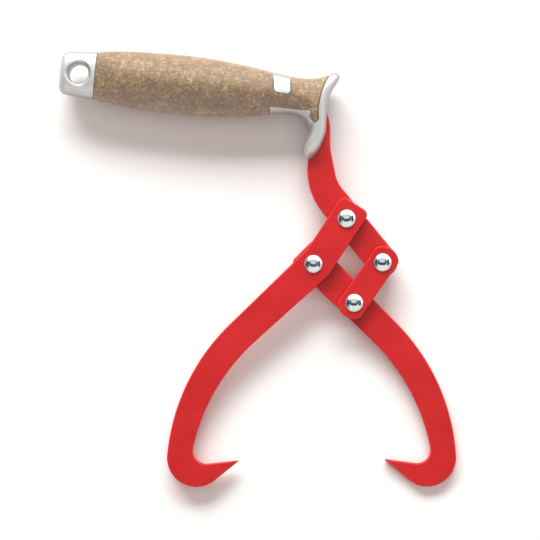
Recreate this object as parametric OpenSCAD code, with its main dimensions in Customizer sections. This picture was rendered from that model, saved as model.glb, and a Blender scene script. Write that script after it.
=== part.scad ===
// Log tongs: a pair of hooked jaws on a four-bar linkage, hung from a cork handle.
// The origin is the centre of the hang hole, in the middle plane of the handle.
// X runs along the handle to its guard, Y points from the hooks to the handle, Z up through the plates.

/* [Plates] */
// Thickness of every steel plate
plate_t = 5; // [3:0.5:7]
// Running gap between plates that slide over one another
plate_gap = 0.2; // [0.1:0.05:0.5]

/* [Linkage] */
// Distance of the top rivet from the hang hole, along X
pivot_reach = 181.5; // [176:0.5:188]
// Distance of the top rivet below the hang hole
pivot_drop = 98.1; // [94:0.5:106]
// Top rivet to left rivet, on the left jaw
left_arm = 38; // [36:0.5:42]
// Left rivet to bottom rivet, on the right jaw
right_arm = 38.1; // [36:0.5:42]
// Bottom rivet to right rivet, on the link
link_len = 33.4; // [31:0.5:36]
// Top rivet to right rivet, on the handle bar
bar_len = 38.3; // [36:0.5:41]
// Direction of the handle bar's straight end, in degrees from X
bar_angle = -50.7; // [-55:0.5:-47]
// Direction from the top rivet to the left rivet, in degrees from X
arm_angle = -126.2; // [-130:0.5:-122]

/* [Jaws] */
// Width of a jaw at the left rivet
jaw_w = 22.7; // [20:0.1:24]
// Width of the left jaw at the top rivet
upper_w = 21.8; // [20:0.1:24]
// How far a jaw's square end stands past its rivet
jaw_end = 11.6; // [10.5:0.1:14]
// Corner radius of a jaw's square end
jaw_corner_r = 4.2; // [1:0.1:5]
// Direction of the left jaw's upper arm, in degrees from X
upper_arm_angle = -123.3; // [-126:0.5:-121]
// Bend of the left jaw at its lower rivet, in degrees
jaw_bend = 10.7; // [6:0.5:14]
// Radius at both corners of that bend
bend_r = 7; // [2:0.5:12]
// Turn of the right jaw's shank from the line of its rivets, in degrees
right_turn = 0.9; // [-1:0.1:2]
// Shift of the left shank's centre line towards the log
left_shift = 1.3; // [0:0.1:2]
// Shift of the right shank's centre line away from the log
right_shift = 1.1; // [0:0.1:2]

/* [Hooks] */
// Distance of the sweep's corner from the left rivet, along the shank
sweep_at = 117.6; // [105:0.5:130]
// Angle of the sweep, from the shank to the hook's side
sweep_angle = 40.6; // [35:0.5:44]
// Radius of the sweep on the outer edge
sweep_out_r = 140.5; // [110:0.5:150]
// Radius of the sweep on the inner edge
sweep_in_r = 137; // [110:0.5:142]
// Angle by which a shank narrows towards its hook
shank_taper = 2; // [0:0.1:3]
// Width of the hook's side just above its throat
side_w = 17.2; // [15:0.2:20]
// Angle by which the side narrows towards the throat
side_taper = 6.5; // [5:0.1:8]
// Distance of the tip below the sweep's corner, along the side
tip_drop = 47.5; // [42:0.5:53]
// Reach of the tip from the middle of the side
tip_reach = 40.9; // [34:0.5:46]
// Slope of the back of the tip, in degrees
tip_back = 44.7; // [40:0.5:50]
// Slope of the top of the tip, in degrees
tip_top = 12.5; // [6:0.5:18]
// Radius of the heel
heel_r = 19.9; // [15:0.1:21]
// Radius of the throat
throat_r = 9.1; // [5:0.1:11]
// Radius left on the very point
point_r = 0.5; // [0.3:0.1:1]
// Length of the facet ground across the left point
facet_len = 7.5; // [4:0.5:12]
// Slope of that facet, in degrees
facet_slope = 20; // [10:1:24]
// Width of the bevel along the back of the right point
bevel_w = 1.9; // [1:0.1:3]

/* [Link] */
// Width of the link
link_w = 18.5; // [16:0.1:20]
// Radius of the link's ends about its rivets
link_end_r = 11; // [10.5:0.1:12]

/* [Handle bar] */
// Width of the bar at its two rivets
bar_w = 20.7; // [18:0.1:22]
// Shift of the bar's centre line away from the log
bar_shift = 0.6; // [0:0.1:1.5]
// Outside radius where the bar turns up to the neck
neck_low_r = 24; // [15:0.5:28]
// Inside radius of the same turn
neck_in_r = 46; // [30:0.5:50]
// Radius where the neck turns into the handle
neck_top_r = 31.7; // [20:0.5:34]
// Width of the tang inside the handle
tang_w = 16; // [12:0.5:17]
// Distance of the tang's end from the hang hole
tang_start = 28; // [28:1:50]
// Slope of the bevel on the front of the neck, in degrees
bevel_slope = 14; // [8:1:16]

/* [Grip] */
// Downward tilt of the handle's axis, in degrees
tilt = 5.8; // [4:0.2:8]
// Distance of the cork's end from the hang hole
seam_at = 11.6; // [10.5:0.2:14]
// Half height of the cork next to the end cap
shoulder_h = 17.2; // [16:0.1:18]
// Half height of the cork at its belly
belly_h = 20.3; // [18.5:0.1:23]
// Distance of the belly from the hang hole
belly_at = 72; // [64:1:80]
// Half height of the cork where it runs down to the neck
waist_h = 16.9; // [15:0.1:18]
// Half height of the grip at the neck
neck_h = 12.8; // [12.2:0.1:14.5]
// Height of the grip's flare at the guard
flare_h = 18; // [16:0.1:19]
// Half depth of the cork at its belly
belly_d = 15.2; // [13.5:0.1:18]
// Half depth of the cork at the neck
neck_d = 12.6; // [11.5:0.1:13]

/* [Core] */
// Half depth of the core inside the cork
core_d = 7; // [5:0.5:9]
// Width of the smooth pad at the top of the grip
pad_w = 11.3; // [8:0.1:16]
// Distance of the pad's left side from the hang hole
pad_at = 132.2; // [128:0.2:134]
// Height of the pad's lower edge above the handle's axis
pad_low = 0; // [-2:0.1:5]
// Corner radius of the pad
pad_r = 2.5; // [1:0.1:4]
// Distance of the lower tongue's end from the hang hole
tongue_at = 131.4; // [120:0.2:140]
// Depth of the tongue's upper edge below the handle's axis
tongue_top = 9.3; // [8.6:0.1:9.6]

/* [End cap] */
// Distance from the hang hole to the end of the cap
cap_end = 12.6; // [11.8:0.1:15]
// Half height of the cap at its far end
cap_h = 14.6; // [13:0.1:15.6]
// Half depth of the cap at its far end
cap_d = 9.5; // [8.5:0.1:11]
// Rounding of the cap's far end
cap_r = 4.4; // [2:0.1:5]
// Radius of the hang hole
hole_r = 7; // [4:0.1:7.5]
// Rounding of the hang hole's two lips
lip_r = 1.8; // [0.8:0.1:2.2]
// Length of the cap's spigot inside the core
spigot_len = 11; // [6:0.5:12]

/* [Rivets] */
// Radius of the rivets' shanks
shank_r = 3.2; // [2.5:0.1:4]
// Radius of the front heads
head_r = 6.2; // [5.6:0.1:7]
// Height of the front heads
head_h = 2.8; // [2:0.1:4]
// Radius of the heads that are closed at the back
back_r = 6.2; // [5.6:0.1:7]
// Height of the heads that are closed at the back
back_h = 2.2; // [1.6:0.1:3.2]
// Thickness of a head at its rim
head_edge = 0.6; // [0.3:0.1:0.9]

/* [Clearances] */
// Radial clearance of a shank in a plate that turns on it
turn_gap = 0.06; // [0.02:0.01:0.1]
// Gap between a head and a plate that turns under it
head_gap = 0.15; // [0.05:0.05:0.3]
// Extra radius of the bottom rivet's hole in the right jaw
open_slack = 1.4; // [1.3:0.05:1.8]
// Clearance of the spigot in the core
spigot_gap = 0.1; // [0:0.05:0.3]

/* [Hidden] */

red = [0.80, 0.13, 0.14];
silver = [0.80, 0.81, 0.80];
cork = [0.74, 0.62, 0.48];
zinc = [0.78, 0.80, 0.82];

// Levels of the two layers of plates
low_z = -plate_t / 2;
up_z = plate_t / 2 + plate_gap;
top_z = up_z + plate_t;

// Small vector tools
function dir(a) = [cos(a), sin(a)];
function turned(v, a) = [v.x * cos(a) - v.y * sin(a), v.x * sin(a) + v.y * cos(a)];
function unit(v) = v / norm(v);
function angle_of(v) = atan2(v.y, v.x);
function cross2(a, b) = a.x * b.y - a.y * b.x;
// Where the line through p along d crosses the line through q along e
function meet(p, d, q, e) = p + d * (cross2(q - p, e) / cross2(d, e));
// The point at distances a from p and b from q, on the right of the way from p to q
function apex(p, a, q, b) =
  let (d = norm(q - p), x = (a * a - b * b + d * d) / (2 * d), u = unit(q - p))
  p + u * x + [u.y, -u.x] * sqrt(max(0, a * a - x * x));

// The arc that rounds corner b, between a and c, with radius r
function fillet(a, b, c, r) =
  let (
    u = unit(a - b), v = unit(c - b),
    half = acos(max(-1, min(1, u * v))) / 2,
    m = b + unit(u + v) * r / sin(half),
    p = b + u * r / tan(half) - m,
    from = angle_of(p),
    sweep = (180 - 2 * half) * sign(cross2(b - a, c - b)),
    n = max(3, ceil(abs(sweep) * sqrt(r) / 22))
  )
  [for (i = [0:n]) m + r * dir(from + sweep * i / n)];

// An outline through corners [[point, radius], ...], each one rounded where it has a radius.
// Where two roundings meet on a short side, both are drawn in until they fit.
function takes(a, b, c, r) = r <= 0 ? 0 : r / tan(acos(max(-1, min(1, unit(a - b) * unit(c - b)))) / 2);
function rounded(c) =
  let (
    n = len(c),
    p = [for (k = c) k[0]],
    t = [for (i = [0:n - 1]) takes(p[(i + n - 1) % n], p[i], p[(i + 1) % n], c[i][1])],
    fits = [
      for (i = [0:n - 1])
        let (j = (i + 1) % n) norm(p[j] - p[i]) / max(norm(p[j] - p[i]), 1.001 * (t[i] + t[j]))
    ]
  )
  [
    for (i = [0:n - 1])
      let (h = (i + n - 1) % n, r = c[i][1] * min(fits[h], fits[i]))
      each r > 0 ? fillet(p[h], p[i], p[(i + 1) % n], r) : [p[i]]
  ];

// Smooth curve through stations [x, value, slope]
function hermite(t, a, b) =
  let (w = b[0] - a[0], s = (t - a[0]) / w)
  a[1] * (1 - s) * (1 - s) * (1 + 2 * s) + b[1] * s * s * (3 - 2 * s)
  + w * s * (1 - s) * (a[2] * (1 - s) - b[2] * s);
function along(t, k, i = 0) =
  t <= k[0][0] ? k[0][1] + (t - k[0][0]) * k[0][2]
  : i > len(k) - 2 ? k[len(k) - 1][1] + (t - k[len(k) - 1][0]) * k[len(k) - 1][2]
  : t <= k[i + 1][0] ? hermite(t, k[i], k[i + 1]) : along(t, k, i + 1);

// The four rivets, at rest
p_top = [pivot_reach, -pivot_drop];
p_left = p_top + left_arm * dir(arm_angle);
p_right = p_top + bar_len * dir(bar_angle);
p_bottom = apex(p_left, right_arm, p_right, link_len);

// Steel plates

module plate(outline, z) {
  translate([0, 0, z]) linear_extrude(plate_t) polygon(outline);
}

module hole(at, r) {
  translate([at.x, at.y, -4 * plate_t]) cylinder(r = r, h = 8 * plate_t, $fn = 64);
}

// Edge lines of a shank and its hook. The first axis runs along the shank from the
// left rivet, the second one towards the log, and shift moves the centre line that way.
side_dir = dir(sweep_angle);
side_in_dir = dir(sweep_angle - side_taper);
side_normal = dir(sweep_angle + 90);
throat_above = 6.5;
function sweep_corner(shift) = [sweep_at, shift];
function tip_point(shift) = sweep_corner(shift) + tip_drop * side_dir + tip_reach * side_normal;
function out_edge(shift) = [0, shift - jaw_w / 2];
function in_edge(shift) = [0, shift + jaw_w / 2];
out_dir = dir(shank_taper / 2);
in_dir = dir(-shank_taper / 2);

// Corners of the hook, from the outer sweep round the tip to the inner sweep
function hook_corners(shift) =
  let (
    k = sweep_corner(shift), tip = tip_point(shift),
    out = k - side_normal * side_w / 2,
    inn = k + side_dir * (tip_drop - throat_above) + side_normal * side_w / 2,
    back = dir(sweep_angle + 90 + tip_back),
    top = dir(sweep_angle + 90 + tip_top)
  )
  [
    [meet(out_edge(shift), out_dir, out, side_dir), sweep_out_r],
    [meet(out, side_dir, tip, back), heel_r],
    [tip, point_r],
    [meet(inn, side_in_dir, tip, top), throat_r],
    [meet(in_edge(shift), in_dir, inn, side_in_dir), sweep_in_r]
  ];

// A shank's frame on the left jaw, and mirrored on the right jaw
left_turned = arm_angle - jaw_bend;
right_turned = angle_of(p_bottom - p_left) - right_turn;
function on_left(v) = turned(v, left_turned);
function on_right(v) = turned([v.x, -v.y], right_turned);

// Upper arm of the left jaw: its direction, and the side that faces the log
up_dir = dir(upper_arm_angle);
up_side = dir(upper_arm_angle + 90);

left_corners = [
  [p_top - jaw_end * up_dir - up_side * upper_w / 2, jaw_corner_r],
  [
    meet(p_top - up_side * upper_w / 2, up_dir, p_left + on_left(out_edge(left_shift)), on_left(out_dir)),
    bend_r
  ],
  for (c = hook_corners(left_shift)) [p_left + on_left(c[0]), c[1]],
  [
    meet(p_top + up_side * upper_w / 2, up_dir, p_left + on_left(in_edge(left_shift)), on_left(in_dir)),
    bend_r
  ],
  [p_top - jaw_end * up_dir + up_side * upper_w / 2, jaw_corner_r]
];

right_corners = [
  [p_left + on_right(out_edge(-right_shift) - out_dir * jaw_end), jaw_corner_r],
  for (c = hook_corners(-right_shift)) [p_left + on_right(c[0]), c[1]],
  [p_left + on_right(in_edge(-right_shift) - in_dir * jaw_end), jaw_corner_r]
];

// Grinds a point away: all that lies less than reach behind its tip, and above the slope
wheel_w = 60;
wheel_t = 20;
module ground(tip, heading, reach, slope, z) {
  translate([tip.x, tip.y, z])
    rotate([0, 0, heading])
      translate([-reach, 0, 0])
        rotate([0, slope, 0])
          translate([0, -wheel_w / 2, 0]) cube([wheel_w, wheel_w, wheel_t]);
}

// The left point is ground across, and the right one along its back
facet_turn = 40;
bevel_slope_right = 45;
left_tip = p_left + on_left(tip_point(left_shift));
right_tip = p_left + on_right(tip_point(-right_shift));
left_heading = left_turned + sweep_angle + 90 + tip_top - facet_turn;
right_heading = right_turned - sweep_angle - tip_back;

module left_jaw() {
  color(red)
    difference() {
      plate(rounded(left_corners), up_z);
      hole(p_top, shank_r + turn_gap);
      hole(p_left, shank_r);
      ground(left_tip, left_heading, facet_len, facet_slope, top_z);
    }
}

module right_jaw() {
  color(red)
    difference() {
      plate(rounded(right_corners), low_z);
      hole(p_left, shank_r + turn_gap);
      hole(p_bottom, shank_r + open_slack);
      ground(right_tip, right_heading, bevel_w, bevel_slope_right, -low_z);
    }
}

// The link: parallel sides, and ends that are arcs about its rivets
module link() {
  half = asin(link_w / 2 / link_end_r);
  heading = angle_of(p_right - p_bottom);
  outline = [
    for (i = [-8:8]) p_right + link_end_r * dir(heading + half * i / 8),
    for (i = [-8:8]) p_bottom + link_end_r * dir(heading + 180 + half * i / 8)
  ];
  color(red)
    difference() {
      plate(outline, up_z);
      hole(p_bottom, shank_r);
      hole(p_right, shank_r + turn_gap);
    }
}

// The handle's frame: the first axis runs down the handle from the hang hole
function in_handle(v) = turned(v, -tilt);
axis_dir = in_handle([1, 0]);

// The neck's edges where the bar stands in the guard: a point and a bearing in the handle's frame
neck_left = [161.5, -20.2];
neck_left_lean = 87.8;
neck_right = [173.8, -20.3];
neck_right_lean = 95.8;
neck_flare = [175.2, -33.1];
neck_flare_lean = 106.3;
neck_inner_r = 6;
neck_soft_r = 12;
tang_corner_r = 3;

bar_dir = dir(bar_angle);
bar_side = dir(bar_angle + 90);
bar_mid = p_top + bar_side * bar_shift;
bar_tip = p_right + bar_side * bar_shift;
neck_left_dir = in_handle(dir(neck_left_lean));
neck_right_dir = in_handle(dir(neck_right_lean));
neck_flare_dir = in_handle(dir(neck_flare_lean));
tang_up = in_handle([0, tang_w / 2]);
tang_down = in_handle([0, -tang_w / 2]);

bar_end_steps = 16;
bar_corners = [
  for (i = [-bar_end_steps:bar_end_steps])
    [bar_tip + bar_w / 2 * dir(bar_angle + 90 * i / bar_end_steps), 0],
  [meet(bar_mid + bar_side * bar_w / 2, bar_dir, in_handle(neck_flare), neck_flare_dir), neck_low_r],
  [meet(in_handle(neck_flare), neck_flare_dir, in_handle(neck_right), neck_right_dir), neck_soft_r],
  [meet(in_handle(neck_right), neck_right_dir, tang_up, axis_dir), neck_top_r],
  [in_handle([tang_start, tang_w / 2]), tang_corner_r],
  [in_handle([tang_start, -tang_w / 2]), tang_corner_r],
  [meet(tang_down, axis_dir, in_handle(neck_left), neck_left_dir), neck_inner_r],
  [meet(in_handle(neck_left), neck_left_dir, bar_mid - bar_side * bar_w / 2, bar_dir), neck_in_r]
];

// The bevel on the front of the neck: its lower end in the handle's frame, its bearing and its length
bevel_from = [176.2, -40];
bevel_bearing = 119.2;
bevel_run = 34;
bevel_before = 4;

module neck_bevel() {
  at = in_handle(bevel_from);
  translate([at.x, at.y, plate_t / 2])
    rotate([0, 0, bevel_bearing - tilt - 90])
      translate([0, -bevel_before, 0])
        rotate([0, bevel_slope, 0]) cube([wheel_w, bevel_run + bevel_before, wheel_t]);
}

module bar_blank() {
  plate(rounded(bar_corners), low_z);
}

module handle_bar() {
  color(red)
    difference() {
      bar_blank();
      neck_bevel();
      hole(p_top, shank_r);
      hole(p_right, shank_r);
    }
}

// Rivets: a low domed head in front, a shank, and a flatter head closed at the back.
// A head is a disc of its rim's thickness with a dome on it.
module head(r, h) {
  rise = h - head_edge;
  ball = (r * r + rise * rise) / (2 * rise);
  intersection() {
    translate([0, 0, h - ball]) sphere(r = ball, $fn = 96);
    cylinder(r = r, h = h + 1, $fn = 96);
  }
}

module rivet(at, front_gap, back_gap) {
  front = top_z + front_gap;
  back = low_z - back_gap;
  color(zinc)
    translate([at.x, at.y, 0]) {
      translate([0, 0, front]) head(head_r, head_h);
      translate([0, 0, back]) cylinder(r = shank_r, h = front - back, $fn = 64);
      translate([0, 0, back]) mirror([0, 0, 1]) head(back_r, back_h);
    }
}

// The top and right rivets are tight in the bar, the left one in the left jaw, the bottom one in the link
module rivet_top() { rivet(p_top, head_gap, 0); }
module rivet_left() { rivet(p_left, 0, head_gap); }
module rivet_bottom() { rivet(p_bottom, 0, head_gap); }
module rivet_right() { rivet(p_right, head_gap, 0); }

// Handle form: half heights and half depth along the handle, as stations [distance, value, slope]

waist_at = 117;
groove_at = 146;
neck_at = 152;
form_end = 171.5;
shoulder_at = seam_at + 3.4;
cap_seam_h = shoulder_h - 0.9;
cap_seam_d = cap_d + 2.3;
cap_slope = (cap_seam_h - cap_h) / (seam_at + cap_end - cap_r);
cap_round_at = cap_r - cap_end;

top_line = [
  [cap_round_at, cap_h, cap_slope],
  [seam_at, cap_seam_h, cap_slope],
  [shoulder_at, shoulder_h, 0.13],
  [belly_at, belly_h, 0],
  [waist_at, waist_h, -0.125],
  [neck_at, neck_h, -0.02],
  [form_end, flare_h, 0.5]
];
bottom_line = [
  [cap_round_at, cap_h, cap_slope],
  [seam_at, cap_seam_h, cap_slope],
  [shoulder_at, shoulder_h, 0.13],
  [belly_at, belly_h, 0],
  [waist_at, waist_h, -0.125],
  [groove_at, neck_h - 0.2, 0],
  [160, 25, 2.4]
];
depth_line = [
  [cap_round_at, cap_d, 0.08],
  [seam_at, cap_seam_d, 0.12],
  [shoulder_at, cap_seam_d + 0.8, 0.08],
  [belly_at, belly_d, 0],
  [waist_at, belly_d - 1.5, -0.05],
  [neck_at, neck_d, 0],
  [form_end, neck_d + 1.2, 0.1]
];

// How much the cap's far end is drawn in for its rounding
function drawn_in(u) =
  let (s = max(0, cap_round_at - u) / cap_r)
  cap_r * (1 - sqrt(max(0, 1 - s * s)));

// An oval section: half heights above and below the axis, half depth, and how square it is
form_sides = 36;
function super(c, n) = sign(c) * pow(abs(c), 2 / n);
function form_ring(u) =
  let (in = drawn_in(u), n = u < seam_at ? 2.7 : 2.3)
  [
    for (i = [0:form_sides - 1])
      let (a = 360 * (i + 0.5) / form_sides, up = sin(a) > 0)
      [
        u,
        ((up ? along(u, top_line) : along(u, bottom_line)) - in) * super(sin(a), n),
        (along(u, depth_line) - in) * super(cos(a), n)
      ]
  ];

// A closed skin over rings of points
module skin(rings) {
  n = len(rings[0]);
  m = len(rings);
  points = [for (r = rings) each r];
  sides = [
    for (j = [0:m - 2])
      for (i = [0:n - 1])
        let (a = j * n + i, b = j * n + (i + 1) % n)
        each [[a, b, a + n], [b, b + n, a + n]]
  ];
  ends = [
    [for (i = [n - 1:-1:0]) i],
    [for (i = [0:n - 1]) (m - 1) * n + i]
  ];
  polyhedron(points, concat(sides, ends), convexity = 6);
}

module handle_frame() { rotate([0, 0, -tilt]) children(); }

// Stations of the cap's skin, of the cork's skin, and of the tongue's skin
cap_steps = 4;
cap_stations = [
  for (i = [0:cap_steps - 1]) cap_round_at - cap_r * cos(8 + 82 * i / cap_steps),
  cap_round_at, 0, seam_at
];
cork_stations = [
  seam_at, seam_at + 1.1, seam_at + 2.2, shoulder_at,
  for (i = [1:11]) shoulder_at + (neck_at - shoulder_at) * i / 11,
  for (i = [1:5]) neck_at + (form_end - neck_at) * i / 5
];
tongue_stations = [
  for (i = [0:3]) tongue_at - 2 + (groove_at - tongue_at + 2) * i / 3,
  for (i = [1:7]) groove_at + 17 * i / 7
];

// Where the cork meets the guard, as [height, distance] stations, and its small drop into the guard
guard_line = [[-8, 164, 0], [2, 165.1, 0.15], [10.5, 167, 0.33], [20, 171.6, 0.6]];
drop_points = [[164.8, -15.7], [162.3, -17.7], [160, -15.5], [158.4, -13], [159.4, -tongue_top - 1.2]];
far = 60;

// Side view of all that is cork, apart from the pad
cork_side = concat(
  [[0, far], [along(20, guard_line) + 3, far]],
  [for (i = [0:8]) let (v = 20 - 28 * i / 8) [along(v, guard_line), v]],
  drop_points,
  [[158, -tongue_top], [tongue_at, -tongue_top], [tongue_at, -far], [0, -far]]
);
tongue_side = [
  [tongue_at, -tongue_top], [158, -tongue_top],
  for (i = [len(drop_points) - 1:-1:0]) drop_points[i],
  [164.8, -far], [tongue_at, -far]
];

module through(outline) {
  translate([0, 0, -far / 2]) linear_extrude(far) polygon(outline);
}

// The pad's sides stand square to the row's X axis, and its lower edge follows the handle
module pad_block() {
  low_left = meet(in_handle([0, pad_low]), axis_dir, [pad_at, 0], [0, 1]);
  low_right = meet(in_handle([0, pad_low]), axis_dir, [pad_at + pad_w, 0], [0, 1]);
  through(rounded([
    [low_left, pad_r], [low_right, pad_r], [[pad_at + pad_w, far], 0], [[pad_at, far], 0]
  ]));
}

// The bar of core that carries the cork, just high enough to take the tongue
core_to = 163;
core_h = tongue_top + 0.4;
module core_bar() {
  translate([seam_at, -core_h, -core_d]) cube([core_to - seam_at, 2 * core_h, 2 * core_d]);
}

module spigot_shape(gap) {
  translate([seam_at - 1, -6 - gap, -4 - gap])
    cube([spigot_len + 1 + gap, 12 + 2 * gap, 8 + 2 * gap]);
}

// The guard: a flange over the end of the cork that runs down into a finger stop.
// Stations are [height, value, slope] for its two edges and its half depth.
guard_in = [
  [-41.6, 159.8, -2], [-36, 155.7, -0.05], [-29, 157.3, 0.35], [-23, 159.2, 0.1],
  [-4, 159.5, 0.1], [8.4, 162.5, 0.5], [15.5, 167.3, 1], [18.4, 171.6, 2]
];
guard_out = [
  [-41.6, 161.8, 2], [-38, 165.7, 0.65], [-27.5, 169.7, 0.25], [-21, 170.8, 0],
  [-4, 169.9, 0], [3, 171.2, 0.28], [14.5, 176.4, 0.35], [18.4, 174.2, -2]
];
guard_deep = [
  [-41.6, 2.6, 2.4], [-36, 10, 0.6], [-23, 13.2, 0.12], [-4, 15, 0],
  [8, 13.6, -0.25], [15, 10.4, -0.8], [18.4, 5, -2.4]
];
guard_heights = [
  -41.6, -41, -40, -38.4, -36, -32.5, -29, -26, -23, -17, -10, -4, 1, 6, 10, 13, 15.4, 17, 18, 18.4
];
guard_sides = 24;

module guard_form() {
  skin([
    for (v = guard_heights)
      let (a = along(v, guard_in), b = along(v, guard_out), d = along(v, guard_deep))
      [
        for (i = [0:guard_sides - 1])
          let (t = 360 * (i + 0.5) / guard_sides)
          [(a + b) / 2 + (b - a) / 2 * super(cos(t), 2.5), v, d * super(sin(t), 2.5)]
      ]
  ]);
}

module cork_grip() {
  color(cork)
    difference() {
      handle_frame()
        difference() {
          intersection() {
            skin([for (u = cork_stations) form_ring(u + (u == seam_at ? 0.001 : 0))]);
            through(cork_side);
          }
          core_bar();
        }
      pad_block();
      bar_blank();
    }
}

module handle_core() {
  color(silver)
    difference() {
      union() {
        handle_frame() {
          core_bar();
          difference() {
            guard_form();
            through(cork_side);
          }
          intersection() {
            skin([for (u = tongue_stations) form_ring(u)]);
            through(tongue_side);
          }
        }
        intersection() {
          handle_frame()
            skin([for (u = [pad_at - 6, pad_at, pad_at + pad_w / 2, pad_at + pad_w, pad_at + pad_w + 6]) form_ring(u)]);
          pad_block();
        }
      }
      bar_blank();
      handle_frame() spigot_shape(spigot_gap);
    }
}

module end_cap() {
  color(silver)
    difference() {
      handle_frame() {
        skin([for (u = cap_stations) form_ring(u)]);
        spigot_shape(0);
      }
      translate([0, 0, -20]) cylinder(r = hole_r, h = 40, $fn = 96);
      for (side = [0, 1])
        mirror([0, 0, side]) hole_lip();
    }
}

// The rounding of the hang hole's lip, cut from the face down
module hole_lip() {
  face = cap_d * 0.97;
  rotate_extrude($fn = 96)
    polygon([
      [hole_r - 0.5, face - lip_r],
      for (i = [0:6]) [hole_r + lip_r * (1 - cos(15 * i)), face - lip_r * (1 - sin(15 * i))],
      [hole_r + lip_r, face + 6],
      [hole_r - 0.5, face + 6]
    ]);
}

handle_bar();
handle_core();
cork_grip();
end_cap();
left_jaw();
right_jaw();
link();
rivet_top();
rivet_left();
rivet_bottom();
rivet_right();
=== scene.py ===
# %% [markdown]
# # Log tongs, dressed for a studio photograph
#
# The tongs are two hooked jaws of painted plate steel, joined by a link and a bar into a
# four-bar linkage, and carried by a cork handle with a silver guard and a silver end cap.
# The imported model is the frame: it gives every piece its place and its size, in metres.
# This lesson adds what a camera sees on top of it: rounded edges, seams, paint, cork and plating.

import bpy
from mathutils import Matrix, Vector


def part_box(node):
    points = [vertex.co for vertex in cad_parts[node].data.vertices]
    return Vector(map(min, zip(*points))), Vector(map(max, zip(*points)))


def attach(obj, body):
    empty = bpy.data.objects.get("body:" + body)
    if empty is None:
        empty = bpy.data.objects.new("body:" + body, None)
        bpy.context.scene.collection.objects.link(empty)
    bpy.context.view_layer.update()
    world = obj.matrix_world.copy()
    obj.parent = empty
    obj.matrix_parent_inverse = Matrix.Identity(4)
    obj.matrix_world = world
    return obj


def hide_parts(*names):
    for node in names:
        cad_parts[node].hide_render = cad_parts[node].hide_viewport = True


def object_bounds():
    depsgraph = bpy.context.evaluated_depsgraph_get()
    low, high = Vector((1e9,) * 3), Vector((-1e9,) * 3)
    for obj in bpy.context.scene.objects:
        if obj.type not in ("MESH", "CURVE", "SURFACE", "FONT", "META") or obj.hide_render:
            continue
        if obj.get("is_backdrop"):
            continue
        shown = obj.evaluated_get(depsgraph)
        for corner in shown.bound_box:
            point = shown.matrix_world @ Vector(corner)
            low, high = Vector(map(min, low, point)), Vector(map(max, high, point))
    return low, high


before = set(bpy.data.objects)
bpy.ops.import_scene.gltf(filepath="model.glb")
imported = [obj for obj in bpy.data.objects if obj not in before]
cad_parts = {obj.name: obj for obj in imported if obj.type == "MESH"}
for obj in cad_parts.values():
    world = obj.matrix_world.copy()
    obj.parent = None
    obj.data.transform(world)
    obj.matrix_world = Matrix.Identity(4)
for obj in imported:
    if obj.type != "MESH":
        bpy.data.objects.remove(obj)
cad_low, cad_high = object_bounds()
print("frame:", sorted(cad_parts))

# %% Modules and units
import math

import bmesh
import bpy
from mathutils import Vector

MM = 0.001
WELD = 0.001 * MM
print("one millimetre is", MM, "of Blender's units")

# %% [markdown]
# ## Helpers for modelling by hand
#
# Every operator works on what is selected, so each helper first selects one piece and nothing
# else. A modifier is added, set and applied in one go, because the finished meshes are exported.


# %% Select one piece, and apply one modifier
def select_only(piece):
    bpy.ops.object.select_all(action="DESELECT")
    piece.select_set(True)
    bpy.context.view_layer.objects.active = piece


def edit(piece):
    select_only(piece)
    bpy.ops.object.mode_set(mode="EDIT")
    bpy.ops.mesh.select_all(action="SELECT")


def finish_edit():
    bpy.ops.object.mode_set(mode="OBJECT")


def apply(piece, kind, **settings):
    select_only(piece)
    modifier = piece.modifiers.new(kind.title(), kind)
    for name, value in settings.items():
        setattr(modifier, name, value)
    bpy.ops.object.modifier_apply(modifier=modifier.name)


def settle(piece):
    """Puts the piece's place and turn into its mesh, so that its object sits at the origin."""
    select_only(piece)
    bpy.ops.object.transform_apply(location=True, rotation=True, scale=True)


def outward(piece):
    edit(piece)
    bpy.ops.mesh.remove_doubles(threshold=WELD)
    bpy.ops.mesh.normals_make_consistent(inside=False)
    finish_edit()


def told(piece):
    print(f"{piece.name}: {len(piece.data.polygons)} faces")
    return piece


# %% [markdown]
# ## Three ways to start a piece
#
# A line is one corner that is extruded from point to point. Filled and raised it becomes a block
# with any outline, which cuts other pieces like a saw. Spun about Z it becomes a turned piece.
# A loft is a ring that is extruded along an axis and resized at every station, the way a grip
# is shaped from a side view and a top view. Its rings start round. Each is then filled out or
# drawn in at its corners, because the section of a moulded handle is seldom a plain ellipse.


# %% Draw a line, raise a block, spin a profile
def drawn_line(name, points):
    bpy.ops.object.select_all(action="DESELECT")
    bpy.ops.mesh.primitive_plane_add(size=MM, location=[c * MM for c in points[0]])
    piece = bpy.context.object
    piece.name = name
    settle(piece)
    edit(piece)
    bpy.ops.mesh.merge(type="CENTER")
    for here, there in zip(points, points[1:]):
        step = [(b - a) * MM for a, b in zip(here, there)]
        bpy.ops.mesh.extrude_vertices_move(TRANSFORM_OT_translate={"value": step})
    finish_edit()
    return piece


SAW_LOW, SAW_HIGH = -30, 30


def block(name, outline):
    """A saw: its outline is raised so far that it reaches past the handle on both sides."""
    piece = drawn_line(name, [(x, y, SAW_LOW) for x, y in outline])
    rise = (0, 0, (SAW_HIGH - SAW_LOW) * MM)
    edit(piece)
    bpy.ops.mesh.edge_face_add()
    bpy.ops.mesh.extrude_region_move(TRANSFORM_OT_translate={"value": rise})
    finish_edit()
    outward(piece)
    return piece


def spun(name, profile, steps=96):
    piece = drawn_line(name, [(radius, 0, height) for radius, height in profile])
    edit(piece)
    bpy.ops.mesh.spin(steps=steps, angle=math.tau, center=(0, 0, 0), axis=(0, 0, 1))
    finish_edit()
    outward(piece)
    return piece


# %% Loft a form from its stations
RING_SIDES = 72


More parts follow.
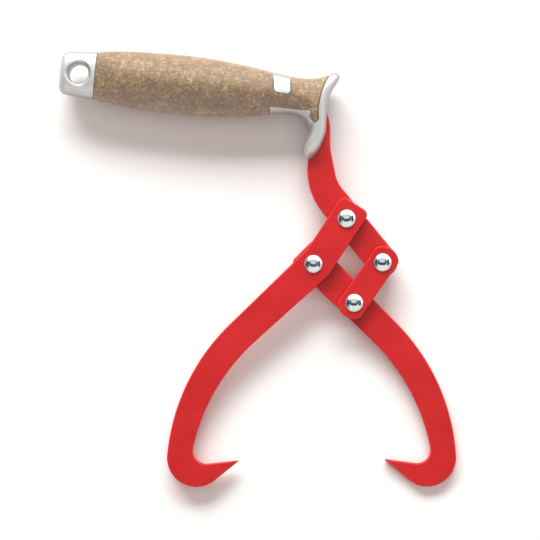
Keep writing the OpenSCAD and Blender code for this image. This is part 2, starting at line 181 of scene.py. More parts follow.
def loft(name, stations):
    """Stations are (distance along X, low edge, high edge, half depth, squareness of the ring)."""
    bpy.ops.object.select_all(action="DESELECT")
    bpy.ops.mesh.primitive_circle_add(
        vertices=RING_SIDES, radius=MM, rotation=(0, math.pi / 2, 0)
    )
    piece = bpy.context.object
    piece.name = name
    settle(piece)
    edit(piece)
    at, middle, half, deep = 0, 0, 1, 1
    for station, (to, low, high, depth, _) in enumerate(stations):
        step = {"value": ((to - at) * MM, 0, 0)}
        if station:
            bpy.ops.mesh.extrude_edges_move(TRANSFORM_OT_translate=step)
        else:
            bpy.ops.transform.translate(**step)
        new_middle, new_half = (low + high) / 2, (high - low) / 2
        bpy.ops.transform.resize(
            value=(1, new_half / half, depth / deep), center_override=(to * MM, middle * MM, 0)
        )
        bpy.ops.transform.translate(value=(0, (new_middle - middle) * MM, 0))
        at, middle, half, deep = to, new_middle, new_half, depth
    bpy.ops.mesh.select_all(action="SELECT")
    bpy.ops.mesh.fill_holes(sides=0)
    finish_edit()
    shape_rings(piece, stations)
    outward(piece)
    return piece


def shape_rings(piece, stations):
    """Gives each ring its station's squareness: 2 is an ellipse, more is squarer, less leaner."""
    for corner in piece.data.vertices:
        _, low, high, depth, squareness = min(stations, key=lambda s: abs(s[0] * MM - corner.co.x))
        for axis, middle, reach in ((1, (low + high) / 2, (high - low) / 2), (2, 0, depth)):
            share = (corner.co[axis] / MM - middle) / reach
            share = math.copysign(abs(share) ** (2 / squareness), share)
            corner.co[axis] = (middle + share * reach) * MM


# %% Cut, keep and blend
def cut(piece, tool, operation="DIFFERENCE"):
    apply(piece, "BOOLEAN", operation=operation, object=tool, solver="EXACT")
    bpy.data.objects.remove(tool)


def melt(piece, grain, passes):
    """Remeshes a piece at one grain size and smooths it, which rounds its edges like a cast."""
    apply(piece, "REMESH", mode="VOXEL", voxel_size=grain * MM)
    apply(piece, "SMOOTH", factor=0.5, iterations=passes)
    select_only(piece)
    bpy.ops.object.shade_smooth()


# %% [markdown]
# ## Finishes as expressions
#
# A material is a graph of nodes. Writing it as arithmetic keeps it readable: a small class
# wraps one output socket, and its operators add the Math nodes. Any other node comes from one
# method, which takes the node's type, its settings and what its inputs get.


# %% Wrap a socket
class Wire:
    def __init__(self, finish, socket):
        self.finish, self.socket = finish, socket

    def math(self, operation, *values):
        return self.finish.node("Math", {"operation": operation}, dict(enumerate(values)))

    def __add__(self, other):
        return self.math("ADD", self, other)

    def __sub__(self, other):
        return self.math("SUBTRACT", self, other)

    def __rsub__(self, other):
        return self.math("SUBTRACT", other, self)

    def __mul__(self, other):
        return self.math("MULTIPLY", self, other)

    def __truediv__(self, other):
        return self.math("DIVIDE", self, other)

    def __rtruediv__(self, other):
        return self.math("DIVIDE", other, self)

    __radd__ = __add__
    __rmul__ = __mul__

    def __abs__(self):
        return self.math("ABSOLUTE", self)

    def root(self):
        return self.math("SQRT", self)

    def larger(self, other):
        return self.math("MAXIMUM", self, other)

    def between(self, low, high):
        """0 below low, 1 above high, and a smooth step from one to the other."""
        ends = {"Value": self, "From Min": low, "From Max": high}
        return self.finish.node("MapRange", {"interpolation_type": "SMOOTHSTEP"}, ends)


# %% Build a finish
class Finish:
    def __init__(self, owner):
        owner.use_nodes = True
        self.tree = owner.node_tree

    def node(self, kind, settings=None, inputs=None, out=0):
        made = self.tree.nodes.new("ShaderNode" + kind)
        for name, value in (settings or {}).items():
            if name == "stops":
                self.set_stops(made.color_ramp.elements, value)
            else:
                setattr(made, name, value)
        self.set(made, inputs or {})
        return Wire(self, made.outputs[out])

    def set_stops(self, ramp, stops):
        while len(ramp) < len(stops):
            ramp.new(1)
        for stop, (place, colour) in zip(ramp, stops):
            stop.position, stop.color = place, (*colour, 1)

    def set(self, node, inputs):
        for name, value in inputs.items():
            if isinstance(value, Wire):
                self.tree.links.new(value.socket, node.inputs[name])
            else:
                node.inputs[name].default_value = value

    def mix(self, share, one, other):
        ends = {"Factor": share, 6: one, 7: other}
        return self.node("Mix", {"data_type": "RGBA"}, ends, out=2)

    def noise(self, place, size, detail=3, **more):
        settings = {"Vector": place, "Scale": 1 / (size * MM), "Detail": detail, **more}
        return self.node("TexNoise", None, settings)

    def bump(self, height, depth, strength):
        inputs = {"Height": height, "Distance": depth * MM, "Strength": strength}
        return self.node("Bump", None, inputs)

    def facing(self):
        """1 on a side that lies flat in the frame, 0 on a wall that stands up in it."""
        normal = self.node("TexCoord", out=1)
        return abs(self.node("SeparateXYZ", None, {0: normal}, out=2))


def surface(name, **constants):
    """A new material, its finish, its one shader with the constant values, and the place."""
    material = bpy.data.materials.new(name)
    finish = Finish(material)
    shader = material.node_tree.nodes["Principled BSDF"]
    finish.set(shader, {key.replace("_", " "): value for key, value in constants.items()})
    place = finish.node("TexCoord", out=3)
    return material, finish, shader, place


def rgb(red, green, blue):
    return (red, green, blue, 1)


# %% [markdown]
# ## Red enamel
#
# The plates are dipped or sprayed in a thick red enamel. Its face is a plain red with a faint
# orange peel. On the rounded edges the paint draws thin, and a painted highlight is laid there
# too, so the rims are a lighter red.
# The edge is found from the normal: a rim is what is neither quite flat nor quite a wall.


# %% Make the red enamel
DEEP_RED, FULL_RED = rgb(0.52, 0.0125, 0.0145), rgb(0.60, 0.0155, 0.0185)
# The lighter red for the rims is partly thin paint and partly a painted highlight.
RIM_THIN_AND_HIGHLIGHT_RED = rgb(0.88, 0.045, 0.048)


def red_enamel():
    material, finish, shader, place = surface(
        "red_enamel", IOR=1.5, Coat_Weight=0.15, Coat_Roughness=0.2, Specular_IOR_Level=0.3
    )
    facing = finish.facing()
    # Painted highlight, partly thin paint: every rim is mixed towards a lighter red.
    rim = facing.between(0.45, 0.75) * (1 - facing.between(0.94, 0.995))
    cloud = finish.noise(place, 22, detail=2)
    fleck = finish.noise(place, 0.9, detail=2)
    face = finish.mix(cloud.between(0.3, 0.7), DEEP_RED, FULL_RED)
    thin_and_highlit_rims = finish.mix(rim * 0.55, face, RIM_THIN_AND_HIGHLIGHT_RED)
    peel = finish.noise(place, 1.7, detail=1)
    finish.set(shader, {
        "Base Color": thin_and_highlit_rims,
        "Roughness": 0.33 + fleck * 0.10,
        "Normal": finish.bump(peel, 0.022, 0.5),
    })
    return material


# %% [markdown]
# ## Cork composite
#
# The grip is pressed from cork granules of about one millimetre. Two sizes of cells give every
# granule its own shade, a noise bends their borders, and wider clouds make the lighter and darker
# patches that pressing leaves. Flecks and knots lie along the grip, so their noise is stretched.
# Cork is dull, but oil and hands leave a thin sheen on it, which a coat and a sheen give.


# %% Make the cork
COARSE_GRAIN, FINE_GRAIN = 1.5, 0.8
BEND, BEND_SIZE = 1.1, 1.6
LYING = (0.45, 1, 1)
CORK_STOPS = [
    (0.18, (0.135, 0.077, 0.030)),
    (0.38, (0.215, 0.130, 0.058)),
    (0.56, (0.315, 0.205, 0.103)),
    (0.78, (0.500, 0.362, 0.220)),
]


def cork():
    material, finish, shader, place = surface(
        "cork", IOR=1.9, Coat_Weight=0.9, Coat_Roughness=0.4,
        Sheen_Weight=0.35, Sheen_Roughness=0.4, Sheen_Tint=rgb(1.0, 0.95, 0.9)
    )
    wander = finish.noise(place, 3.0, detail=3)
    bent = finish.node("VectorMath", {"operation": "MULTIPLY_ADD"}, {
        0: finish.node("TexNoise", None, {"Vector": place, "Scale": 1 / (BEND_SIZE * MM)}, out=1),
        1: (BEND * MM,) * 3,
        2: place,
    })

    def granules(size):
        cells = {"Vector": bent, "Scale": 1 / (size * MM), "Randomness": 1.0}
        shade = finish.node("TexVoronoi", None, cells, out=1)
        return finish.node("SeparateColor", None, {0: shade})

    coarse, fine = granules(COARSE_GRAIN), granules(FINE_GRAIN)
    lying = finish.node("VectorMath", {"operation": "MULTIPLY"}, {0: bent, 1: LYING})
    flecks = finish.noise(lying, 0.95, detail=2).between(0.52, 0.68)
    knots = finish.noise(lying, 3.2, detail=1).between(0.66, 0.76)
    cloud = finish.noise(place, 9, detail=3)
    shade = (
        coarse * 0.24 + fine * 0.27 + cloud * 0.48 + wander * 0.32
        + flecks * 0.20 + knots * 0.2 - 0.27
    )
    colour = finish.node("ValToRGB", {"stops": CORK_STOPS}, {0: shade})
    pits = finish.noise(place, 0.5, detail=2)
    finish.set(shader, {
        "Base Color": colour,
        "Roughness": 0.46 + fine * 0.12,
        "Normal": finish.bump(coarse * 0.4 + fine * 0.5 + pits * 0.5, 0.16, 0.45),
    })
    return material


# %% [markdown]
# ## Silver moulding
#
# The guard, the pad and the end cap are plastic in a satin silver. It is a pale grey with a
# very fine metal flake in it, more satin than shiny, with faint clouds from the mould. Walls that
# stand up steeply are painted a darker grey as shade. That draws each piece's outline, even on a
# white table.


# %% Make the silver moulding
DULL_SILVER, PALE_SILVER = rgb(0.76, 0.77, 0.76), rgb(0.81, 0.815, 0.80)
# The last grey is painted shade for the steep walls.
FLAKE_SILVER, SHADED_WALL_SILVER = rgb(0.88, 0.885, 0.88), rgb(0.33, 0.34, 0.34)


def silver_moulding():
    material, finish, shader, place = surface(
        "silver_moulding", IOR=1.5, Metallic=0.65, Coat_Weight=0.2, Coat_Roughness=0.3
    )
    cloud = finish.noise(place, 14, detail=2)
    flake = finish.noise(place, 0.28, detail=1)
    body = finish.mix(cloud.between(0.3, 0.7), DULL_SILVER, PALE_SILVER)
    broad = finish.mix(flake.between(0.55, 0.75) * 0.35, body, FLAKE_SILVER)
    # Painted shade: walls that stand up steeply in the frame get a darker grey.
    painted_wall_shade = 1 - finish.facing().between(0.35, 0.95)
    colour = finish.mix(painted_wall_shade * 0.85, broad, SHADED_WALL_SILVER)
    finish.set(shader, {
        "Base Color": colour,
        "Roughness": 0.36 + flake * 0.12,
        "Normal": finish.bump(flake + finish.noise(place, 2.4), 0.012, 0.4),
    })
    return material


# %% [markdown]
# ## Zinc plating
#
# The rivets are bright plated. Plating is pure reflection, so the bump stays very small: a few
# forging ripples that bend the studio's reflection, and duller patches where it was handled.


# %% Make the plating
WORN_ZINC, BRIGHT_ZINC = rgb(0.72, 0.745, 0.75), rgb(0.90, 0.905, 0.91)


def zinc_plating():
    material, finish, shader, place = surface("zinc_plating", Metallic=1.0)
    cloud = finish.noise(place, 2.6, detail=3)
    ripple = finish.noise(place, 1.8, detail=2)
    finish.set(shader, {
        "Base Color": finish.mix(cloud, WORN_ZINC, BRIGHT_ZINC),
        "Roughness": 0.10 + cloud.between(0.45, 0.75) * 0.12,
        "Normal": finish.bump(ripple, 0.06, 0.5),
    })
    return material


RED, CORK, SILVER, ZINC = red_enamel(), cork(), silver_moulding(), zinc_plating()
print("finishes:", [m.name for m in (RED, CORK, SILVER, ZINC)])


# %% Hand a finished piece to the frame
def dress(piece, material, slot, body, *nodes):
    """Gives a piece its material and its body, and hides the frame's nodes that it stands for."""
    piece.data.materials.clear()
    piece.data.materials.append(material)
    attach(piece, body)
    if nodes:
        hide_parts(*nodes)
    return told(piece)


# %% [markdown]
# ## The steel plates
#
# The bar, both jaws and the link are stamped from 5 mm plate. Their outlines are already exact
# in the frame, so each is a merged copy of its node. What the copy adds is the edge: stamping
# rolls it over and paint fills it, so a bevel with three segments runs round every rim. A bevel
# needs clean faces, so the two flat sides are opened and filled again as one face each, which
# closes the rivet holes too, and the holes are drilled again when the rims are done.

# %% Find the rivet holes in a plate
HOLE_REACH = 6


def rivet_middles():
    boxes = {n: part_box(n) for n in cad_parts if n.startswith("rivet_")}
    return {n: ((low + high) / 2).xy for n, (low, high) in boxes.items()}


def holes_in(mesh):
    """Middle and radius of each rivet hole, from the corners that stand round a rivet."""
    found = []
    for middle in rivet_middles().values():
        away = [(corner.co.xy - middle).length for corner in mesh.vertices]
        near = [r for r in away if r < HOLE_REACH * MM]
        if near:
            found.append((middle, max(near)))
    return found


# %% Open a plate
FLAT = 0.9999
FRAME_WELD, POINT = 0.005, 0.45
HOLE_ROOM = 0.1


def keep_walls_only(mesh, holes):
    """In edit mode: takes the flat faces and the holes' walls off, and keeps the outline's."""
    bpy.ops.mesh.remove_doubles(threshold=FRAME_WELD * MM)
    shape = bmesh.from_edit_mesh(mesh)
    for face in shape.faces:
        middle = face.calc_center_median().xy
        in_hole = any((middle - hole).length < r + HOLE_ROOM * MM for hole, r in holes)
        face.select_set(in_hole or abs(face.normal.z) > FLAT)
    bmesh.update_edit_mesh(mesh)
    bpy.ops.mesh.delete(type="FACE")
    bpy.ops.mesh.select_all(action="SELECT")
    bpy.ops.mesh.remove_doubles(threshold=POINT * MM)


# %% Close a plate and roll its rims
RIM, RIM_STEPS = 0.9, 3
UPRIGHT = 0.3
SHARP, STRAIGHT = math.radians(40), math.radians(0.5)


def is_rim(edge):
    if len(edge.link_faces) != 2:
        return False
    one, two = sorted(abs(face.normal.z) for face in edge.link_faces)
    return one < UPRIGHT and two > math.cos(SHARP)


def close_and_roll_rims(mesh):
    """In edit mode: fills each flat side as one face, and bevels its rim against the walls."""
    bpy.ops.mesh.select_all(action="SELECT")
    bpy.ops.mesh.fill_holes(sides=0)
    bpy.ops.mesh.select_all(action="SELECT")
    bpy.ops.mesh.normals_make_consistent(inside=False)
    bpy.ops.mesh.dissolve_limited(angle_limit=STRAIGHT)
    bpy.ops.mesh.select_all(action="DESELECT")
    shape = bmesh.from_edit_mesh(mesh)
    for edge in shape.edges:
        edge.select_set(is_rim(edge))
    bmesh.update_edit_mesh(mesh)
    bpy.ops.mesh.bevel(offset=RIM * MM, segments=RIM_STEPS, affect="EDGES", clamp_overlap=False)


# %% Make the four plates
DRILL_SIDES, DRILL_LENGTH = 64, 40


def drill(piece, holes):
    for middle, radius in holes:
        bpy.ops.mesh.primitive_cylinder_add(
            vertices=DRILL_SIDES, radius=radius, depth=DRILL_LENGTH * MM, location=(*middle, 0)
        )
        bit = bpy.context.object
        settle(bit)
        cut(piece, bit)


def plate(name, node, body):
    piece = bpy.data.objects.new(name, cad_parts[node].data.copy())
    bpy.context.collection.objects.link(piece)
    holes = holes_in(piece.data)
    edit(piece)
    keep_walls_only(piece.data, holes)
    close_and_roll_rims(piece.data)
    finish_edit()
    drill(piece, holes)
    select_only(piece)
    bpy.ops.object.shade_smooth_by_angle(angle=SHARP)
    apply(piece, "WEIGHTED_NORMAL", weight=100, keep_sharp=True)
    return dress(piece, RED, "red_enamel", body, node)


plate("painted_bar", "handle_bar", "handle")
plate("painted_left_jaw", "left_jaw", "left_jaw")
plate("painted_right_jaw", "right_jaw", "right_jaw")
plate("painted_link", "link", "link")

# %% [markdown]
# ## The form of the handle
#
# The handle is drawn in its own frame: u runs down the handle from the hang hole, v points up,
# and the finished pieces are turned down by the tilt. Three lines give the form, the top, the
# bottom and the half depth, each through a few stations with a slope at each one.

# %% Set out the handle's lines
# Stations are (place, value, slope), and squareness is that of the rings from cap to neck.
TILT = math.radians(5.8)
SEAM_AT, BELLY_AT = 11.6, 72
CAP_ROUND = 4.4
CAP_ROUND_AT = -8.2
CAP_SLOPE = 0.0859

HEAD = [(CAP_ROUND_AT, 14.6, CAP_SLOPE), (SEAM_AT, 16.3, CAP_SLOPE), (15, 17.2, 0.13),
        (BELLY_AT, 20.3, 0), (117, 16.9, -0.125)]
TOP = HEAD + [(152, 12.8, -0.02), (171.5, 18, 0.5)]
BOTTOM = HEAD + [(146, 12.6, 0), (160, 25, 2.4)]
DEPTH = [(CAP_ROUND_AT, 9.5, 0.08), (SEAM_AT, 11.8, 0.12), (15, 12.6, 0.08),
         (BELLY_AT, 15.2, 0), (117, 13.7, -0.05), (152, 12.6, 0), (171.5, 13.8, 0.1)]
SQUARENESS = [(SEAM_AT, 2.6, 0), (42, 1.8, 0), (150, 1.8, 0)]
GUARD_SQUARENESS = 2.5


def along(line, t):
    """The value at t of a smooth line through stations (place, value, slope)."""
    if t <= line[0][0]:
        return line[0][1] + (t - line[0][0]) * line[0][2]
    if t >= line[-1][0]:
        return line[-1][1] + (t - line[-1][0]) * line[-1][2]
    one, two = next((a, b) for a, b in zip(line, line[1:]) if t <= b[0])
    width = two[0] - one[0]
    s = (t - one[0]) / width
    return (
        one[1] * (1 - s) ** 2 * (1 + 2 * s) + two[1] * s * s * (3 - 2 * s)
        + width * s * (1 - s) * (one[2] * (1 - s) - two[2] * s)
    )


def spread(low, high, count):
    return [low + (high - low) * i / count for i in range(count + 1)]


def grip_stations(places, swell=0.0):
    found = []
    for u in places:
        past = max(0, CAP_ROUND_AT - u) / CAP_ROUND
        drawn_in = CAP_ROUND * (1 - math.sqrt(max(0, 1 - past * past))) - swell
        low, high, deep = along(BOTTOM, u), along(TOP, u), along(DEPTH, u)
        found.append((u, drawn_in - low, high - drawn_in, deep - drawn_in, along(SQUARENESS, u)))
    return found


def turn_down(piece):
    piece.rotation_euler.z = -TILT
    settle(piece)


print("half height at the belly:", along(TOP, BELLY_AT), "mm")

# %% [markdown]
# ## The end cap
#
# A short silver shoe with a hang hole. It is lofted with its far end drawn in along a quarter
# circle. The hole is cut by a spool, a turned piece that flares at both faces, because the hole's
# lips are rounded for a cord. Remeshing at a fine grain then rounds what is left sharp.

# %% Model the end cap
HOLE_R, LIP_R, FACE = 7, 1.8, 9.215
PAST_FACE = 4
END_FLAT = 7
CAP_GRAIN = 0.36


def hang_hole_spool():
    lip = [
        (HOLE_R + LIP_R * (1 - math.cos(a)), FACE - LIP_R * (1 - math.sin(a)))
        for a in spread(0, math.pi / 2, 8)
    ]
    half = lip + [(HOLE_R + LIP_R, FACE + PAST_FACE), (0, FACE + PAST_FACE)]
    return spun("spool", [(r, -z) for r, z in reversed(half)] + half)


def end_cap():
    turns = (math.radians(a) for a in spread(END_FLAT, 90, 14))
    nose = [CAP_ROUND_AT - CAP_ROUND * math.cos(a) for a in turns]
    piece = loft("hanging_cap", grip_stations(nose + spread(CAP_ROUND_AT, SEAM_AT, 12)[1:]))
    cut(piece, hang_hole_spool())
    melt(piece, CAP_GRAIN, 5)
    turn_down(piece)
    return dress(piece, SILVER, "silver_moulding", "handle", "end_cap")


end_cap()

# %% [markdown]
# ## The lines of the guard
#
# The guard is a flange over the cork's end that runs down into a finger stop. It is lofted from
# the bottom up, so its stations are places on v. One more line says where the cork ends against
# it, with a small drop of cork that hangs into the guard above the finger stop.

# %% Set out the guard
# The cork's side of the guard, its outer side, its half depth and the cork's end, each as
# stations (v, value, slope), and then the corners of the drop and the tongue.
GUARD_IN = [(-41.6, 159.8, -2), (-36, 155.7, -0.05), (-29, 157.3, 0.35), (-23, 159.2, 0.1),
            (-4, 159.5, 0.1), (8.4, 162.5, 0.5), (15.5, 167.3, 1), (18.4, 171.6, 2)]
GUARD_OUT = [(-41.6, 161.8, 2), (-38, 165.7, 0.65), (-27.5, 169.7, 0.25), (-21, 170.8, 0),
             (-4, 169.9, 0), (3, 171.2, 0.28), (14.5, 176.4, 0.35), (18.4, 174.2, -2)]
GUARD_DEEP = [(-41.6, 2.6, 2.4), (-36, 10, 0.6), (-23, 13.2, 0.12), (-4, 15, 0),
              (8, 13.6, -0.25), (15, 10.4, -0.8), (18.4, 5, -2.4)]
CORK_END = [(-8, 164, 0), (2, 165.1, 0.15), (10.5, 167, 0.33), (20, 171.6, 0.6)]
DROP = [(164.8, -15.7), (162.3, -17.7), (160, -15.5), (158.4, -13), (159.4, -10.5)]
TONGUE_AT, TONGUE_TO, TONGUE_TOP = 131.4, 158, -9.3
FAR, PAST_GUARD = 60, 178


def cork_outline(gap=0.0):
    end = [(along(CORK_END, v) - gap, v) for v in spread(20, -8, 20)]
    return (
        [(0, FAR), (PAST_GUARD, FAR)] + end + DROP
        + [(TONGUE_TO, TONGUE_TOP), (TONGUE_AT, TONGUE_TOP), (TONGUE_AT, -FAR), (0, -FAR)]
    )


def tongue_outline():
    return (
        [(TONGUE_AT, TONGUE_TOP), (TONGUE_TO, TONGUE_TOP)] + DROP[::-1]
        + [(DROP[0][0], -FAR), (TONGUE_AT, -FAR)]
    )


print("the cork ends", along(CORK_END, 0), "mm from the hang hole")

# %% [markdown]
# ## The guard and its tongue
#
# Two lofts are joined: the guard, and the tongue that runs back under the grip. The guard is
# cut by the cork's own outline, so both share one seam. Remeshing melts the two into one
# casting, with the soft corner where the tongue turns down into the finger stop.

# %% Model the guard and its tongue
GUARD_GRAIN = 0.45
FOOT = [-41.6, -41.3, -40.9, -40.3, -39.5]
LIP = [15.8, 16.6, 17.3, 17.8, 18.2, 18.4]


def guard():
    stations = [
        (v, -along(GUARD_OUT, v), -along(GUARD_IN, v), along(GUARD_DEEP, v), GUARD_SQUARENESS)
        for v in FOOT + spread(-38.5, 15, 36) + LIP
    ]
    piece = loft("guard_moulding", stations)
    piece.rotation_euler.z = math.pi / 2
    settle(piece)
    cut(piece, block("cork_saw", cork_outline()))
    tongue = loft("tongue", grip_stations(spread(TONGUE_AT - 2, 163, 34)))
    cut(tongue, block("tongue_saw", tongue_outline()), "INTERSECT")
    select_only(piece)
    tongue.select_set(True)
    bpy.ops.object.join()
    melt(piece, GUARD_GRAIN, 7)
    turn_down(piece)
    return dress(piece, SILVER, "silver_moulding", "handle", "handle_core")


guard()

# %% [markdown]
# ## The core inside the cork
#
# The guard's moulding goes on through the cork as a plain bar with rounded edges, which keep
# clear of the cork's skin where the neck is thin. Nothing of it shows, but the cork is a sleeve
# round it, so both take its size.

# %% Model the core bar
CORE_FROM, CORE_TO, CORE_H, CORE_D = SEAM_AT, 163, 9.7, 7
CORE_ROUND = 3


def core_shape(name, margin=0.0):
    bpy.ops.object.select_all(action="DESELECT")
    bpy.ops.mesh.primitive_cube_add(size=1, location=((CORE_FROM + CORE_TO) / 2 * MM, 0, 0))
    piece = bpy.context.object
    piece.name = name
    piece.scale = [
        (CORE_TO - CORE_FROM + 2 * margin) * MM, 2 * (CORE_H + margin) * MM,
        2 * (CORE_D + margin) * MM,
    ]
    settle(piece)
    apply(piece, "BEVEL", width=(CORE_ROUND + margin) * MM, segments=4)
    return piece


def core_bar():
    piece = core_shape("core_bar")
    turn_down(piece)
    return dress(piece, SILVER, "silver_moulding", "handle")


core_bar()

# %% [markdown]
# ## The smooth pad
#
# Near the guard a window in the cork shows a silver pad, flush with the grip. Its sides stand
# upright in the frame, not across the handle, so it is cut after the handle is turned down. The
# cork's window is a hair wider than the pad, which leaves the thin dark seam round it.

# %% Model the pad
PAD_AT, PAD_W, PAD_R = 132.2, 11.3, 2.5
PAD_SEAM = 0.3
PAD_PROUD = 0.1
PAD_GRAIN = 0.3


def pad_block(name, margin):
    """The pad's outline, raised through the grip: upright sides and two round lower corners."""
    left, right, r = PAD_AT - margin, PAD_AT + PAD_W + margin, PAD_R + margin
    lower = {x: -x * math.tan(TILT) - margin for x in (left, right)}
    lean = {left: -math.pi, right: -math.pi / 2}
    corners = []
    for x, inward in ((left, 1), (right, -1)):
        for turn in spread(0, math.pi / 2, 6):
            a = lean[x] + turn
            corners.append((x + inward * r + r * math.cos(a), lower[x] + r + r * math.sin(a)))
    return block(name, [(left, FAR)] + corners + [(right, FAR)])


def smooth_pad():
    places = spread(PAD_AT - 8, PAD_AT + PAD_W + 14, 24)
    piece = loft("smooth_pad", grip_stations(places, PAD_PROUD))
    turn_down(piece)
    cut(piece, pad_block("pad_saw", 0), "INTERSECT")
    melt(piece, PAD_GRAIN, 5)
    return dress(piece, SILVER, "silver_moulding", "handle")


smooth_pad()

# %% [markdown]
# ## The cork grip
#
# The biggest piece is a loft along the whole handle, sawn to the outline that it shares with
# the guard and the tongue, bored for the core, and cut open for the pad. Its grain is coarser,
# because pressed cork has soft edges. The uneven skin is left to the bump of its finish.

# %% Model the cork grip
CORK_GRAIN = 0.6
CORK_SEAM = 0.15
BORE_ROOM = 0.2


def cork_grip():
    places = [SEAM_AT, 12.4, 13.2, 14, 15] + spread(16.5, 150, 60) + spread(151, 175, 16)
    piece = loft("cork_sleeve", grip_stations(places))
    cut(piece, block("side_saw", cork_outline(CORK_SEAM)), "INTERSECT")
    cut(piece, core_shape("core_drill", BORE_ROOM))
    turn_down(piece)
    cut(piece, pad_block("window_saw", PAD_SEAM))
    melt(piece, CORK_GRAIN, 3)
    return dress(piece, CORK, "cork", "handle", "cork_grip")


cork_grip()

# %% [markdown]
# ## The rivets
#
# Four plated rivets hold the linkage. One profile is drawn from the middle of the flatter head
# at the back, up the shank and over to the top of the dome, and spun about Z. The four rivets are
# copies of it, each with its own mesh. The frame's nodes give the places and the heights.

# %% Draw a rivet's profile
SHANK_R = 3.2
HEAD_EDGE, HEAD_SOFT = 0.6, 0.2


def rivet_profile(low, high, back_top, front_low, head_r):
    """Radii and heights from the middle of the back head to the middle of the dome."""
    def dome(base, tip):
        rise = abs(tip - base)
        ball = (head_r ** 2 + rise ** 2) / (2 * rise)
        top = math.asin(head_r / ball)
        way = 1 if tip > base else -1
        return [
            (ball * math.sin(a), tip - way * ball * (1 - math.cos(a)))
            for a in spread(0, top, 16)
        ]

    def soft_edge(rim, way):
        third = HEAD_SOFT / 3
        return [(head_r - third, rim + way * third), (head_r, rim + way * HEAD_SOFT)]

    back = dome(back_top - HEAD_EDGE, low)
    back[-1:] = soft_edge(back[-1][1], 1)
    front = dome(front_low + HEAD_EDGE, high)
    front[-1:] = soft_edge(front[-1][1], -1)
    under = head_r - HEAD_SOFT
    shank = [(under, back_top), (SHANK_R, back_top), (SHANK_R, front_low), (under, front_low)]
    return back + shank + front[::-1]


# %% Turn one rivet and copy it
HEAD_LIFT = 0.15
RIVET_BODIES = {
    "rivet_top": "handle",
    "rivet_right": "handle",
    "rivet_left": "left_jaw",
    "rivet_bottom": "link",
}


def rivets():
    low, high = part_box("rivet_top")
    back_top, front_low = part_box("handle_bar")[0].z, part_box("left_jaw")[1].z + HEAD_LIFT * MM
    levels = [z / MM for z in (low.z, high.z, back_top, front_low)]
    head_r = (high.x - low.x) / 2 / MM
    pattern = spun("rivet_pattern", rivet_profile(*levels, head_r), steps=64)
    select_only(pattern)
    bpy.ops.object.shade_smooth_by_angle(angle=SHARP)
    middle = rivet_middles()
    lift = {node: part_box(node)[0].z - low.z for node in middle}
    for node, body in RIVET_BODIES.items():
        piece = bpy.data.objects.new("plated_" + node, pattern.data.copy())
        bpy.context.collection.objects.link(piece)
        piece.location = (*middle[node], lift[node])
        settle(piece)
        dress(piece, ZINC, "plated_rivet", body, node)
    bpy.data.objects.remove(pattern)


rivets()

# %% [markdown]
# ## The white table
#
# The tongs lie on a white table. They rest on the back of the cork, on the back of the guard and
# on the right hook, which is in the lower layer of plates, so the table is a plane through those
# three points. The left hook is in the upper layer and stays about 4 mm above it.

# %% Lay the table under the three points it carries
RESTS = [(71.1, -8.1, -15.2), (163.1, -24.7, -14.9), (234.3, -279, -2.55)]
TABLE_SIZE = 8
TABLE_WHITES = rgb(0.925, 0.927, 0.932), rgb(0.935, 0.937, 0.942)


def table():
    one, two, three = (Vector(p) * MM for p in RESTS)
    normal = (two - one).cross(three - one).normalized()
    normal *= math.copysign(1, normal.z)
    bpy.ops.object.select_all(action="DESELECT")
    bpy.ops.mesh.primitive_plane_add(size=TABLE_SIZE, location=one)
    floor = bpy.context.object
    floor.name = "table"
    floor.rotation_euler = normal.to_track_quat("Z", "Y").to_euler()
    material, finish, shader, place = surface(
        "white_table", Roughness=0.9, Specular_IOR_Level=0.1
    )
    finish.set(shader, {"Base Color": finish.mix(finish.noise(place, 60), *TABLE_WHITES)})
    floor.data.materials.append(material)
    floor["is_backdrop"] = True
    print("table leans", round(math.degrees(normal.angle((0, 0, 1))), 1), "degrees")


table()

# %% [markdown]
# ## The softbox
#
# The main light is a wide, low softbox beyond the handle. It lights the upper side of every round
# form and throws the long soft shadow below it. It stays out of reflections, where it would burn
# a white spot into every silver edge.

# %% Hang the softbox
CENTRE = (0.13, -0.13, 0)
KEY_AT, KEY_SIZE = (-0.35, 3.2, 1.6), (3.8, 1.3)
KEY_POWER, KEY_COLOUR = 250, (0.97, 1.0, 0.99)


def softbox():
    bpy.ops.object.select_all(action="DESELECT")
    bpy.ops.object.light_add(type="AREA", location=KEY_AT)
    lamp = bpy.context.object
    lamp.name = "key"
    lamp.data.shape = "RECTANGLE"
    lamp.data.size, lamp.data.size_y = KEY_SIZE
    lamp.data.energy, lamp.data.color = KEY_POWER, KEY_COLOUR
    lamp.visible_glossy = False
    lamp.rotation_euler = (Vector(KEY_AT) - Vector(CENTRE)).to_track_quat("Z", "Y").to_euler()
    print("key light:", KEY_POWER, "W at", KEY_AT)


softbox()

# %% [markdown]
# ## The world around
#
# The rest of the light comes from the world, which has two coats of paint. One lights what is
# dull, with pale low walls and a pale ceiling. The other is seen only by gloss and metal: a bright
# panel beyond the table, a dimmer one before it, dark sides, and a dark eye with a pale pupil
# overhead, which is what bright rivets need to look like metal. The camera sees plain white.


# %% Paint the world for what is dull
def grey(value):
    return rgb(value, value, value)


def dull_world(finish, across, forward, up):
    """Pale low walls, a shade brighter before the table, a dim middle and a pale ceiling."""
    overhead = up.between(0.70, 0.82)
    low_down = 1 - up.between(0.26, 0.42)
    before = 1 - forward.between(-0.6, -0.2)
    left = 1 - across.between(-0.85, -0.35)
    walls = finish.mix(overhead, rgb(0.18, 0.155, 0.145), rgb(0.84, 0.73, 0.69))
    low_walls = finish.mix(before, rgb(1.22, 1.09, 1.03), rgb(1.70, 1.44, 1.30))
    walls = finish.mix(low_down, walls, low_walls)
    return finish.mix(left * 0.35, walls, grey(0.1))


# %% Paint the world for gloss and metal
# Each eye is an ellipse overhead: half width, middle and half depth, and colour.
EYES = [
    (0.66, 0.06, 0.50, rgb(0.06, 0.09, 0.105)),
    (0.44, 0.22, 0.26, rgb(0.75, 0.84, 0.88)),
]


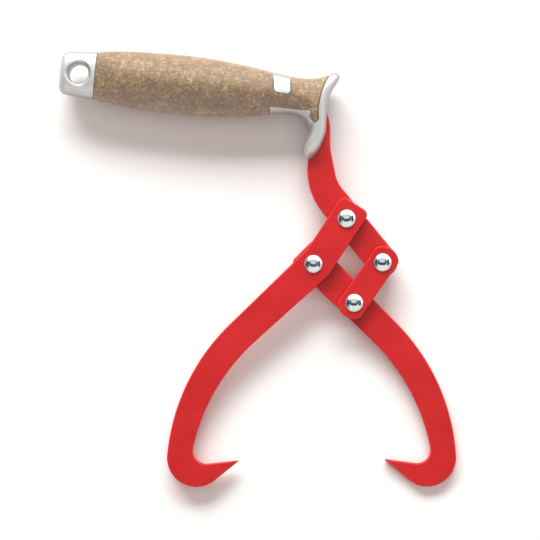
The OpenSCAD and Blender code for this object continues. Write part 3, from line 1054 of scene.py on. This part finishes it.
def glossy_world(finish, across, forward, up):
    """A bright panel beyond, a dimmer one before, dark sides, and an eye with a pale pupil."""
    behind = finish.mix(up.between(0.3, 0.5), rgb(0.70, 0.66, 0.61), grey(0.95))
    beyond = finish.mix(up.between(0.2, 0.45), grey(1.2), grey(2.0))
    panels = finish.mix(forward.between(-0.1, 0.1), behind, beyond)
    left = 1 - across.between(-0.85, -0.35)
    panels = finish.mix(left * 0.8, panels, grey(0.1))

    level = (1 - up * up).root()
    sideways = 1 - (abs(forward) / level).between(0.4, 0.55)
    sides = up.between(0.48, 0.54) * (1 - up.between(0.70, 0.82)) * sideways
    seen = finish.mix(sides, panels, rgb(0.03, 0.035, 0.04))
    for wide, middle, deep, colour in EYES:
        x, y = across * (1 / wide), (forward - middle) * (1 / deep)
        seen = finish.mix(1 - (x * x + y * y).between(0.8, 1.1), seen, colour)
    return seen


# %% Put the world together
def studio():
    bpy.context.scene.world = bpy.data.worlds.new("studio")
    finish = Finish(bpy.context.scene.world)
    facing = finish.node("TexCoord", out=0)
    ways = [finish.node("SeparateXYZ", None, {0: facing}, out=axis) for axis in range(3)]
    camera, glossy, through = (
        finish.node("LightPath", out=ray)
        for ray in ("Is Camera Ray", "Is Glossy Ray", "Is Transmission Ray")
    )
    lit = finish.mix(glossy, dull_world(finish, *ways), glossy_world(finish, *ways))
    colour = finish.mix(camera.larger(through), lit, grey(1))
    finish.set(finish.tree.nodes["Background"], {"Color": colour, "Strength": 1.0})
    print("world painted with", len(finish.tree.nodes), "nodes")


studio()

# %% [markdown]
# ## The camera
#
# The photograph is taken from straight above. A long lens from over a metre away keeps the high
# handle and the low hooks at nearly one scale.

# %% Place the camera
CAMERA_AT = (0.12974, -0.13294, 1.15)
SENSOR, LENS = 36, 112.7

bpy.ops.object.camera_add(location=CAMERA_AT, rotation=(0, 0, 0))
camera = bpy.context.object
camera.data.sensor_width, camera.data.lens = SENSOR, LENS
bpy.context.scene.camera = camera
bpy.context.scene.view_settings.view_transform = "Standard"
print("camera looks straight down from", camera.location.z, "m")

# %% [markdown]
# ## Close the lesson
#
# The last line prints how much the dressed model's box has grown past the frame's box.

# %% Measure both boxes and finish
low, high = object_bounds()
grown = (high - low) - (cad_high - cad_low)
print("size grows by", [round(side / MM, 2) for side in grown], "mm")
